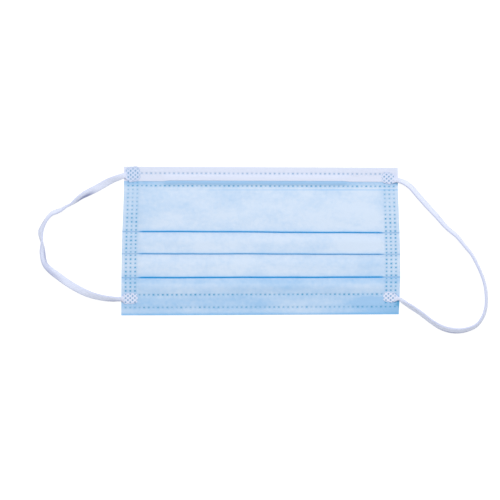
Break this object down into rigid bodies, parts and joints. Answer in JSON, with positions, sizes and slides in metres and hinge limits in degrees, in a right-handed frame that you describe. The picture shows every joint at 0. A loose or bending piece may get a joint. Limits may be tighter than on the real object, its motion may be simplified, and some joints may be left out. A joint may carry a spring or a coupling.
{
  "type": "surgical face mask",
  "caption": "Flat pleated face mask with a blue outer face, a white top hem over a nose wire and two elastic ear loops, lying outer face up.",
  "frame": {"origin": "on the surface that the mask lies on, under the middle of the mask without its ear loops", "axes": "+X along the width, +Y towards the top edge with the nose wire, +Z out of the blue outer face"},
  "size_m": [0.2816, 0.1047, 0.0047],
  "materials": {
    "outer_fabric": "pale blue nonwoven, matt",
    "inner_fabric": "white nonwoven, matt",
    "wire_coating": "white coating on a flat wire",
    "ear_elastic": "white knitted elastic, matt"
  },
  "bodies": {
    "root": {"pleated_panel": "outer_fabric", "top_hem": "inner_fabric", "nose_wire": "wire_coating", "loop_end_top_left": "ear_elastic", "loop_end_top_right": "ear_elastic", "loop_end_bottom_left": "ear_elastic", "loop_end_bottom_right": "ear_elastic", "ear_loop_left": "ear_elastic", "ear_loop_right": "ear_elastic"}
  },
  "joints": []
}
